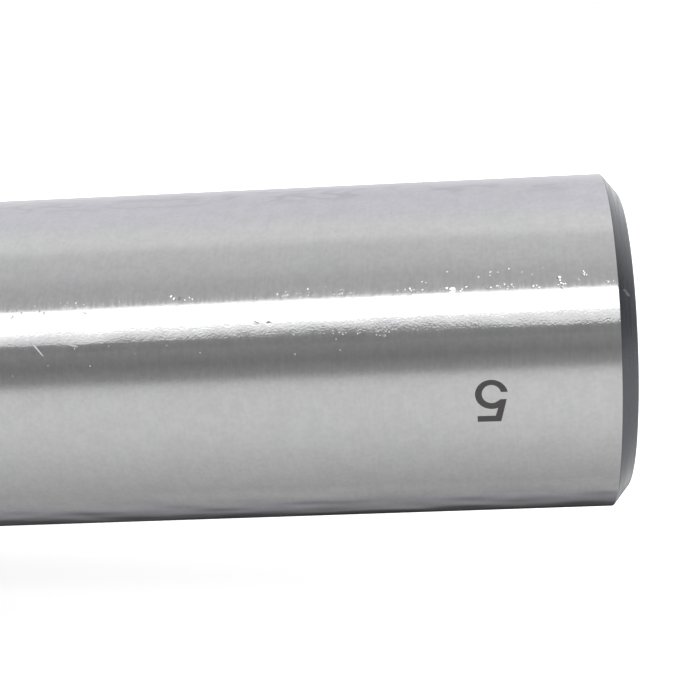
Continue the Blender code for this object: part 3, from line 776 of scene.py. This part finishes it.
# Each group of drops: x, arc_up, their spreads, radius and number
OIL_DROPS = [
    (67.0, 5.4, 1.3, 0.35, 0.13, 4),
    (74.0, 5.95, 3.5, 0.10, 0.12, 6),
    (82.6, 6.15, 0.6, 0.10, 0.17, 4),
    (93.4, 3.0, 0.0, 0.0, 0.27, 1),
    (92.2, 3.1, 0.5, 0.15, 0.14, 3),
    (96.5, 6.1, 2.6, 0.22, 0.09, 12),
    (97.4, 6.45, 0.0, 0.0, 0.14, 1),
    (107.6, 5.75, 1.1, 0.14, 0.14, 7),
    (111.9, 5.55, 0.0, 0.0, 0.34, 1),
    (112.8, 5.68, 0.4, 0.10, 0.16, 4),
    (115.3, 5.65, 0.3, 0.05, 0.15, 2),
    (118.0, 5.6, 1.6, 0.14, 0.11, 10),
    (120.0, 5.5, 0.4, 0.08, 0.15, 3),
    (122.2, 6.35, 0.0, 0.0, 0.19, 1),
    (122.4, 5.8, 0.13, 0.35, 0.13, 7),
    (124.4, 6.4, 0.35, 0.30, 0.11, 6),
    (126.9, 5.7, 0.3, 0.12, 0.12, 3),
    (117.0, 7.1, 3.5, 0.5, 0.08, 12),
    (102.5, 1.75, 2.4, 0.25, 0.10, 16),
    (92.5, 1.0, 4.5, 0.9, 0.09, 7),
    (75.0, -0.4, 6.0, 1.0, 0.08, 6),
    (126.0, 1.9, 0.9, 0.10, 0.10, 5),
    (94.6, 5.85, 0.6, 0.12, 0.12, 6),
    (101.0, 5.75, 1.6, 0.06, 0.11, 6),
    (84.8, 5.95, 1.2, 0.10, 0.12, 4),
    (70.9, 6.4, 0.5, 0.4, 0.12, 2),
    (66.2, 5.5, 0.9, 0.3, 0.13, 3),
    (105.0, 1.45, 0.5, 0.15, 0.10, 5),
    (96.0, 1.8, 0.0, 0.0, 0.13, 1),
]


def make_oil_drops():
    chance = random.Random(5)
    bm = bmesh.new()
    for x, arc_up, spread_x, spread_arc, radius, number in OIL_DROPS:
        for _ in range(number):
            place = (chance.gauss(x, spread_x), chance.gauss(arc_up, spread_arc))
            size = radius * chance.uniform(0.7, 1.2) if number > 1 else radius
            add_drop(bm, min(place[0], CHAMFER_X - size), place[1], size)
    finish_skin("oil_drops", bm, OIL)


# Each scratch on the taper: its start and end, as x and arc_up, its width and height
SCRATCHES = [
    ((67.6, 2.3), (69.1, 0.6), 0.24, 0.07),
    ((71.7, 1.8), (73.0, 1.45), 0.26, 0.08),
    ((69.1, 1.95), (69.7, 1.8), 0.2, 0.05),
    ((73.4, 5.15), (73.9, 4.85), 0.14, 0.04),
]


def make_scratches():
    """Burrs on the taper, and a nick on the chamfer, which is a piece of its own."""
    bm = bmesh.new()
    for start, end, width, height in SCRATCHES:
        add_ridge(bm, on_taper, start, end, width, height)
    finish_skin("scratches", bm, GROUND)
    bm = bmesh.new()
    add_ridge(bm, on_chamfer, (0.75, 4.8), (1.75, 4.15), 0.34, 0.05)
    finish_skin("chamfer_nick", bm, BORED)


make_size_mark()
make_oil_drops()
make_scratches()

# ======== Spindle ========

NOSE_RADIUS = 17.5
NOSE_START = -95.0
COLLAR_START = HEAD_FRONT - 7.5
COLLAR_CHAMFER = 0.8
WAIST_RADIUS = 11.9
WAIST_START = -27.5
WAIST_END = 10.0
JOURNAL_RADIUS = 10.0
TAIL_CENTRE_RADIUS = 3.4


def make_spindle():
    front_start = span("front_bearing_inner_race")[0] - REST
    thrust_start = span("thrust_shaft_washer")[0] - REST
    front_seat = FRONT_BORE - FIT
    thrust_seat = THRUST_BORE - FIT
    corners = [
        (TIP_X, 0),
        (TIP_X, 0.25, 0.1),
        (NOSE_START, NOSE_RADIUS, 0.5),
        (COLLAR_START, NOSE_RADIUS, 0.4),
        (COLLAR_START, COLLAR_RADIUS - COLLAR_CHAMFER, 0.1),
        (COLLAR_START + COLLAR_CHAMFER, COLLAR_RADIUS, 0.2),
        (front_start, COLLAR_RADIUS, 0.3),
        (front_start, front_seat, 0.4),
        *ring_groove("spindle_retaining_ring", front_seat, SPINDLE_RING_SEAT - FIT),
        (thrust_start, front_seat, 0.3),
        (thrust_start, thrust_seat, 0.3),
        (WAIST_START, thrust_seat, 0.1),
        (WAIST_START, WAIST_RADIUS, 0.3),
        (WAIST_END, WAIST_RADIUS, 0.5),
        (WAIST_END + 2.0, JOURNAL_RADIUS, 0.5),
        (TAIL_END - 0.8, JOURNAL_RADIUS, 0.3),
        (TAIL_END, JOURNAL_RADIUS - 0.8, 0.2),
        (TAIL_END, TAIL_CENTRE_RADIUS, 0.1),
        (TAIL_END - TAIL_CENTRE_RADIUS / tan(CENTRE_ANGLE / 2), 0),
    ]
    turned("spindle", rounded(corners), (GROUND,))


make_spindle()

# ======== Cover nut and seals ========

SPANNER_HOLES = 4
SPANNER_CIRCLE = 30.3
SPANNER_HOLE_RADIUS = 2.5
SPANNER_HOLE_DEPTH = 4.5
COVER_CHAMFER = 1.2
COVER_BORE = COLLAR_RADIUS + 0.45
COVER_LIP = 3.5
O_RING_X = HEAD_FRONT + 1.9
O_RING_WIRE = 1.0


def make_cover():
    pocket = span("shaft_seal")[2] + FIT
    spigot = span("front_bearing_outer_race")[2] - FIT
    groove_floor = THREAD_RADIUS - 2 * O_RING_WIRE - 0.1 - FIT
    groove_half = O_RING_WIRE + FIT
    thread_end = THREAD_END - FIT
    crest = THREAD_RADIUS - FIT
    root = crest - THREAD_DEPTH
    corners = [
        (COVER_FRONT, COVER_RADIUS - COVER_CHAMFER, 0.25),
        (COVER_FRONT, COVER_BORE + 0.4, 0.1),
        (COVER_FRONT + 0.4, COVER_BORE, 0.1),
        (COVER_FRONT + COVER_LIP, COVER_BORE, 0.15),
        (COVER_FRONT + COVER_LIP, pocket, 0.2),
        (COVER_REAR, pocket, 0.2),
        (COVER_REAR, spigot, 0.2),
        (thread_end, spigot, 0.2),
        (thread_end, root),
        *thread(thread_end - 0.4, O_RING_X + groove_half + 0.3, root, crest, THREAD_PITCH),
        (O_RING_X + groove_half, groove_floor, 0.2),
        (O_RING_X - groove_half, groove_floor, 0.2),
        (O_RING_X - groove_half, crest, 0.1),
        (HEAD_FRONT - REST, crest, 0.3),
        (HEAD_FRONT - REST, COVER_RADIUS - 0.4, 0.1),
        (HEAD_FRONT - REST - 0.4, COVER_RADIUS, 0.15),
        (COVER_FRONT + COVER_CHAMFER, COVER_RADIUS, 0.25),
    ]
    places = [facing_front(angle, COVER_FRONT, SPANNER_CIRCLE) for angle in shares(SPANNER_HOLES)]
    cutters = [(hole(SPANNER_HOLE_RADIUS, SPANNER_HOLE_DEPTH, mouth=0.3), place) for place in places]
    turned("cover_nut", rounded(corners), (BLACK,), cutters=cutters)


def make_shaft_seal():
    """A radial lip seal: a sleeve, a web at the front and a lip that leans back onto the collar."""
    start, end, outside = span("shaft_seal")
    lip = COLLAR_RADIUS + 0.25
    corners = [
        (start, outside, 0.3),
        (start, lip + 1.0, 0.2),
        (start + 1.4, lip + 0.8, 0.3),
        (start + 3.8, lip, 0.08),
        (start + 5.6, lip + 0.9, 0.1),
        (start + 4.6, lip + 0.7, 0.1),
        (start + 3.8, lip + 1.3, 0.2),
        (start + 3.4, lip + 2.4, 0.2),
        (start + 1.8, lip + 2.6, 0.3),
        (start + 1.8, outside - 1.6, 0.4),
        (end, outside - 1.6, 0.2),
        (end, outside, 0.3),
    ]
    turned("shaft_seal", rounded(corners), (RUBBER,))


def make_o_ring():
    x = centre("cover_o_ring").x / MM
    radius = span("cover_o_ring")[2] - O_RING_WIRE
    turned("cover_o_ring", arc((x, radius), O_RING_WIRE, 0, FULL_TURN, 24)[:-1], (RUBBER,))


def make_garter_spring():
    """A close-wound coil, bent into a ring."""
    node = "seal_garter_spring"
    turns, steps, sides = 420, 9, 6
    wire, coil = 0.14, 0.40
    x = centre(node).x / MM
    radius = span(node)[2] - 0.55
    bm = bmesh.new()
    rings = []
    for i in range(turns * steps):
        along = FULL_TURN * i / (turns * steps)
        wind = FULL_TURN * i / steps
        out = Vector((0, -sin(along), cos(along)))
        side = Vector((0, -cos(along), -sin(along)))
        away = out * cos(wind) + Vector((1, 0, 0)) * sin(wind)
        middle = Vector((x, 0, 0)) + out * radius + away * coil
        section = [middle + (away * cos(a) + side * sin(a)) * wire for a in shares(sides)]
        rings.append([bm.verts.new(point * MM) for point in section])
    for near, far in zip(rings, rings[1:] + rings[:1]):
        bridge(bm, near, far)
    finish_skin(node + "_fine", bm, SPRING, node)


make_cover()
make_shaft_seal()
make_o_ring()
make_garter_spring()

# ======== Retaining rings ========

RING_HALF_GAP = radians(14)
RING_LUG = radians(11)
RING_LUG_FADE = radians(5)
RING_STEPS = 220


def make_retaining_ring(node, seat, width, outward):
    """A circlip: an eccentric C with two drilled lugs. outward is 1 on a shaft, and -1 inside a bore."""
    start, end, _ = span(node)
    bm = bmesh.new()
    pairs = []
    for step in range(RING_STEPS + 1):
        angle = RING_HALF_GAP + (FULL_TURN - 2 * RING_HALF_GAP) * step / RING_STEPS
        from_end = min(angle, FULL_TURN - angle) - RING_HALF_GAP
        lug = min(max((RING_LUG + radians(3) - from_end) / RING_LUG_FADE, 0), 1)
        lug = lug * lug * (3 - 2 * lug)
        band = 0.62 + 0.38 * sin(angle / 2)
        reach = width * (band + (1.15 - band) * lug)
        radii = (seat, seat + outward * reach)
        pairs.append([bm.verts.new(Vector((start, r * sin(angle), r * cos(angle))) * MM) for r in radii])
    for near, far in zip(pairs, pairs[1:]):
        bm.faces.new((near[0], near[1], far[1], far[0]))
    grown = bmesh.ops.extrude_face_region(bm, geom=bm.faces[:])["geom"]
    far_side = [item for item in grown if isinstance(item, bmesh.types.BMVert)]
    bmesh.ops.translate(bm, verts=far_side, vec=((end - start) * MM, 0, 0))
    bmesh.ops.recalc_face_normals(bm, faces=bm.faces)
    rims = [edge for edge in bm.edges if edge.calc_face_angle(0) > radians(60)]
    bmesh.ops.bevel(bm, geom=rims, offset=0.12 * MM, segments=2, profile=0.5, affect="EDGES")
    made = mesh_object(node + "_fine", bm)
    lugs = [QUARTER_TURN + side * (RING_HALF_GAP + RING_LUG / 2) for side in (-1, 1)]
    places = [facing_front(angle, start - 0.5, seat + outward * width * 0.65) for angle in lugs]
    drill(made, [(hole(width * 0.2, end - start + 1), place) for place in places])
    finish_piece(made, (SPRING,), node)


make_retaining_ring("spindle_retaining_ring", SPINDLE_RING_SEAT, 4.0, 1)
make_retaining_ring("needle_retaining_ring", NEEDLE_RING_SEAT, 2.9, -1)

# ======== Bearings ========


def make_rolling(name, count, bm):
    """Rolling pieces that share one mesh, and sit where the CAD puts them."""
    mesh = mesh_from(name, bm)
    for number in range(1, count + 1):
        node = f"{name}_{number}"
        made = add_object(node + "_fine", mesh)
        made.location = centre(node)
        finish_piece(made, (BEARING,), node)


def make_balls(name, count):
    bm = bmesh.new()
    bmesh.ops.create_icosphere(bm, subdivisions=5, radius=half_length(name + "_1") * MM)
    make_rolling(name, count, bm)


def make_cage(node, inside, rounding, cutters):
    """A ring with pockets, given as (bmesh, place)."""
    start, end, outside = span(node)
    corners = [(start, outside), (end, outside), (end, inside), (start, inside)]
    turned(node, rounded([(*corner, rounding) for corner in corners]), (BRASS,), cutters=cutters)


POCKET_SIDES = 60

FRONT_BALLS = 9
FRONT_PITCH = 23.0
FRONT_INNER_SHOULDER = 20.2
FRONT_OUTER_SHOULDER = 25.8
FRONT_CAGE_INSIDE = 20.9
SHIELD_GAP = 0.2
SHIELD_SHEET = 0.35


def make_race(node, shoulder, edge):
    """A race with a groove for the balls, from its shoulders to the edge that meets its seat."""
    start, end, _ = span(node)
    groove = half_length("front_ball_1") + RACE_RUN
    half = asin(abs(FRONT_PITCH - shoulder) / groove)
    bottom = (-half, half - pi) if edge < shoulder else (half, pi - half)
    corners = [(start, shoulder, 0.3), (start, edge, 0.8), (end, edge, 0.8), (end, shoulder, 0.3)]
    corners += arc(((start + end) / 2, FRONT_PITCH), groove, *bottom, 24)
    turned(node, rounded(corners), (BEARING,))


def make_shield(node, outward):
    """A pressed shield, dished inwards between its rims; outward is the side that shows."""
    start, end, outside = span(node)
    face = start if outward < 0 else end
    dish = (end - start) - SHIELD_SHEET
    inside = FRONT_INNER_SHOULDER + SHIELD_GAP
    steps = [(0.0, outside), (0.0, outside - 1.1), (dish, outside - 1.6)]
    steps += [(dish, inside + 1.2), (0.15, inside + 0.7), (0.15, inside)]
    top = [(face - outward * depth, r, 0.15) for depth, r in steps]
    back = [(face - outward * (depth + SHIELD_SHEET), r, 0.1) for depth, r in reversed(steps)]
    turned(node, rounded(top + back), (SPRING,))


def make_front_cage():
    node = "front_bearing_cage"
    start, end, outside = span(node)
    middle = (start + end) / 2
    pocket = half_length("front_ball_1") + POCKET_RUN
    depth = outside - FRONT_CAGE_INSIDE + 2
    places = [facing_out(QUARTER_TURN - angle, middle, outside + 1) for angle in shares(FRONT_BALLS)]
    cutters = [(hole(pocket, depth, sides=POCKET_SIDES), place) for place in places]
    make_cage(node, FRONT_CAGE_INSIDE, 0.3, cutters)


THRUST_BALLS = 12
THRUST_PITCH = 18.0
THRUST_GROOVE_DEPTH = 0.9
THRUST_HOUSING_BORE = 13.5
THRUST_CAGE_INSIDE = 13.0


def make_washer(node, bore, side):
    """A washer with a groove for the balls; side is -1 in front of them and 1 behind."""
    start, end, outside = span(node)
    back = start if side < 0 else end
    ball = half_length("thrust_ball_1")
    low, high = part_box("thrust_ball_1")
    middle = (low.x + high.x) / 2 / MM
    groove = ball + RACE_RUN
    face = ball - THRUST_GROOVE_DEPTH
    front = middle + side * face
    half = side * acos(face / groove)
    bottom = 0 if side > 0 else pi
    corners = [(front, bore, 0.2), (back, bore, 0.7), (back, outside, 0.7), (front, outside, 0.3)]
    corners += arc((middle, THRUST_PITCH), groove, bottom + half, bottom - half, 20)
    turned(node, rounded(corners), (BEARING,))


def make_thrust_cage():
    node = "thrust_cage"
    start, end, _ = span(node)
    pocket = half_length("thrust_ball_1") + POCKET_RUN
    places = [facing_front(QUARTER_TURN - angle, start - 1, THRUST_PITCH) for angle in shares(THRUST_BALLS)]
    cutters = [(hole(pocket, end - start + 2, sides=POCKET_SIDES), place) for place in places]
    make_cage(node, THRUST_CAGE_INSIDE, 0.3, cutters)


ROLLERS = 12
ROLLER_RADIUS = 1.5
SHELL_LIP = 0.9
SHELL_LIP_INSIDE = 11.0
NEEDLE_PITCH = 11.5
NEEDLE_CAGE_INSIDE = 10.6
SLOT_RUN = 0.12


def make_needle_shell():
    start, end, outside = span("needle_bearing_shell")
    inside = NEEDLE_PITCH + ROLLER_RADIUS + RUN
    corners = [
        (start, outside, 0.8),
        (end, outside, 0.8),
        (end, SHELL_LIP_INSIDE, 0.3),
        (end - SHELL_LIP, SHELL_LIP_INSIDE, 0.3),
        (end - SHELL_LIP, inside, 0.3),
        (start + SHELL_LIP, inside, 0.3),
        (start + SHELL_LIP, SHELL_LIP_INSIDE, 0.3),
        (start, SHELL_LIP_INSIDE, 0.3),
    ]
    turned("needle_bearing_shell", rounded(corners), (BEARING,))


def slot_cutter(length, width, height):
    bm = bmesh.new()
    size = Matrix.Diagonal((length * MM, width * MM, height * MM, 1.0))
    bmesh.ops.create_cube(bm, size=1.0, matrix=size)
    return bm


def make_needle_cage():
    node = "needle_cage"
    start, end, _ = span(node)
    middle = (start + end) / 2
    roller_start, roller_end, _ = span("needle_roller_1")
    length = roller_end - roller_start + 4 * SLOT_RUN
    width = 2 * ROLLER_RADIUS
    places = [around(QUARTER_TURN - angle) @ at(middle, 0, NEEDLE_PITCH) for angle in shares(ROLLERS)]
    cutters = [(slot_cutter(length, width + 2 * SLOT_RUN, width), place) for place in places]
    make_cage(node, NEEDLE_CAGE_INSIDE, 0.2, cutters)


def make_rollers():
    half = half_length("needle_roller_1")
    radius = ROLLER_RADIUS - RUN
    outline = rounded([(-half, 0), (-half, radius, 0.35), (half, radius, 0.35), (half, 0)])
    make_rolling("needle_roller", ROLLERS, revolve(outline, SMALL))


make_race("front_bearing_inner_race", FRONT_INNER_SHOULDER, FRONT_BORE)
make_race("front_bearing_outer_race", FRONT_OUTER_SHOULDER, span("front_bearing_outer_race")[2])
make_shield("front_bearing_front_shield", -1)
make_shield("front_bearing_rear_shield", 1)
make_front_cage()
make_balls("front_ball", FRONT_BALLS)
make_washer("thrust_shaft_washer", THRUST_BORE, -1)
make_washer("thrust_housing_washer", THRUST_HOUSING_BORE, 1)
make_thrust_cage()
make_balls("thrust_ball", THRUST_BALLS)
make_needle_shell()
make_needle_cage()
make_rollers()

# ======== Stage, camera and lights ========

CAMERA_YAW = 0.1821
CAMERA_ROLL = -0.0398
CAMERA_LENS = 46.29
CAMERA_X = 117.8
CAMERA_DISTANCE = 107.3


def make_camera():
    data = bpy.data.cameras.new("camera")
    data.lens = CAMERA_LENS
    data.sensor_width = 36.0
    data.clip_start = 0.005
    made = add_object("camera", data)
    level = Matrix.Rotation(CAMERA_YAW, 4, "Z") @ Matrix.Rotation(QUARTER_TURN, 4, "X")
    place = at(CAMERA_X, -CAMERA_DISTANCE, 0) @ level @ Matrix.Rotation(CAMERA_ROLL, 4, "Z")
    made.matrix_world = Matrix.Rotation(-VIEW_ANGLE, 4, "X") @ place
    bpy.context.scene.camera = made


def make_floor():
    """A plain white floor, lit so that only the object's own shadow shows on it."""
    bm = bmesh.new()
    bmesh.ops.create_grid(bm, x_segments=1, y_segments=1, size=20.0)
    made = mesh_object("floor", bm)
    made.location.z = -HEAD_RADIUS * MM
    finish = Finish("floor", 0.0, Base_Color=(0.8, 0.8, 0.8, 1.0), Roughness=0.9, Specular_IOR_Level=0.0)
    finish.use(Emission_Color=(1.0, 1.0, 1.0, 1.0), Emission_Strength=0.53)
    made.data.materials.append(finish.material)
    made.visible_glossy = False


def make_lights():
    """A wide overhead sun fills the shadows; what the steel reflects is the studio itself."""
    data = bpy.data.lights.new("overhead", "SUN")
    data.energy = 2.0
    data.angle = radians(60)
    made = add_object("overhead", data)
    made.visible_glossy = False


# What surrounds the object at each angle round the axis, in degrees from -Y upwards, apart from the key light
SURROUNDINGS = [
    (-180, 0.69), (-168, 0.30), (-160, 0.04), (-138, 0.045), (-126, 0.09), (-114, 0.25),
    (-102, 0.39), (-86, 0.47), (-54, 0.66), (-42, 0.75), (-24, 0.83), (-10, 0.84),
    (-3, 0.81), (1, 0.72), (6, 0.36), (15, 0.25), (21, 0.30), (32, 0.35),
    (45, 0.55), (67, 0.59), (78, 0.70), (94, 0.77), (101, 0.93), (110, 0.93),
    (126, 0.86), (140, 0.84), (152, 0.79), (180, 0.80),
]
# The studio's tint between these angles, and a cooler one below and beyond them
TINT = (1.006, 1.0, 1.0)
COOL_TINT = (1.006, 1.0, 1.058)
COOL_BEYOND = (-100, 115)
POINT_END_LEVEL = (0.45, 0.45, 0.46)

# The key light is a softbox along the object that fades towards its foot: the reach of its foot and of its
# core, and where it ends at the top. It's skewed along X, its core more so, and its foot is arched
KEY_FOOT = [radians(a) for a in (30.6, 32.4)]
KEY_CORE = [radians(a) for a in (37.3, 46.0)]
KEY_TOP = [radians(a) for a in (53.3, 55.3)]
KEY_SKEW = radians(2.5)
KEY_CORE_SKEW = radians(3.0)
KEY_ARCH = (-0.45, -0.12, 0.03, 0.16)
KEY_ARCH_HEIGHT = radians(3.1)
KEY_FOOT_LEVEL = 0.75
KEY_CORE_LEVEL = 1.35


def light_round_axis(made, x, angle):
    """The surroundings at each angle round the axis, and the key light."""
    ramp = made.node("ShaderNodeValToRGB", Fac=made.between(angle, -pi, pi, smooth=False))
    stops = ramp.color_ramp.elements
    while len(stops) > 1:
        stops.remove(stops[-1])
    for number, (degrees, level) in enumerate(SURROUNDINGS):
        place = (degrees + 180) / 360
        stop = stops[0] if number == 0 else stops.new(place)
        stop.position = place
        tint = TINT if COOL_BEYOND[0] <= degrees <= COOL_BEYOND[1] else COOL_TINT
        stop.color = (*[level * share for share in tint], 1.0)
    skewed = made.math("MULTIPLY_ADD", x, -KEY_SKEW, angle)
    arched = made.math("MULTIPLY_ADD", made.band(x, *KEY_ARCH), -KEY_ARCH_HEIGHT, skewed)
    foot = made.between(arched, *KEY_FOOT, 0.0, KEY_FOOT_LEVEL)
    in_core = made.math("MULTIPLY_ADD", x, -KEY_CORE_SKEW, skewed)
    core = made.between(in_core, *KEY_CORE, 0.0, KEY_CORE_LEVEL)
    key = made.times(made.math("ADD", foot, core), made.between(skewed, *KEY_TOP, 1.0, 0.0))
    gain = made.between(x, -0.1, 0.6, 1.0, 1.1)
    levels = made.vector_math("MULTIPLY", ramp.outputs[0], gain).outputs[0]
    return made.vector_math("ADD", levels, key).outputs[0]


def light_past_shank(made, x, y, z):
    """How far a direction lies below, and the level past the shank's end, which falls towards +X."""
    high = made.between(x, 0.3, 0.75, 1.45, 0.8)
    high = made.times(high, made.between(x, 0.7, 0.93, 1.0, 0.12))
    high = made.times(high, made.between(y, 0.9, 0.97, 1.0, 1.6))
    low = made.between(x, 0.35, 0.7, 1.1, 0.56)
    below = made.between(made.math("MULTIPLY_ADD", x, -0.45, z), -0.5, -0.61)
    return below, made.colour(below, high, low)


def make_world():
    """A white studio that's dark behind the camera, with a long softbox along the object and dark ends."""
    world = bpy.data.worlds.new("studio")
    bpy.context.scene.world = world
    world.use_nodes = True
    world.node_tree.nodes.clear()
    made = Nodes(world.node_tree)
    direction = made.node("ShaderNodeTexCoord").outputs["Generated"]
    x, y, z = made.node("ShaderNodeSeparateXYZ", Vector=direction).outputs
    angle = made.math("ARCTAN2", z, made.times(y, -1.0))
    round_axis = light_round_axis(made, x, angle)
    below, past_shank = light_past_shank(made, x, y, z)
    # That level starts behind the object, sooner below and far back, and covers the very end all round
    far = made.math("MAXIMUM", below, made.between(y, 0.6, 0.95))
    near = made.times(far, made.between(x, 0.15, 0.37))
    start = made.math("MAXIMUM", made.between(x, 0.25, 0.5), near)
    behind = made.times(start, made.between(y, -0.15, 0.15))
    beyond = made.math("MAXIMUM", behind, made.between(x, 0.85, 0.97))
    shank_side = made.colour(beyond, round_axis, past_shank)
    point_side = made.colour(made.between(x, -0.6, -0.95), round_axis, POINT_END_LEVEL)
    surroundings = made.colour(made.math("GREATER_THAN", x, 0.0), point_side, shank_side)
    lit = made.node("ShaderNodeBackground", Color=surroundings).outputs[0]
    plain = made.node("ShaderNodeBackground", Color=(1.0, 1.0, 1.0, 1.0)).outputs[0]
    seen = made.node("ShaderNodeLightPath").outputs["Is Camera Ray"]
    mix = made.node("ShaderNodeMixShader", None, seen, lit, plain)
    made.node("ShaderNodeOutputWorld", Surface=mix.outputs[0])


make_camera()
make_floor()
make_lights()
make_world()
bpy.context.scene.view_settings.view_transform = "Standard"
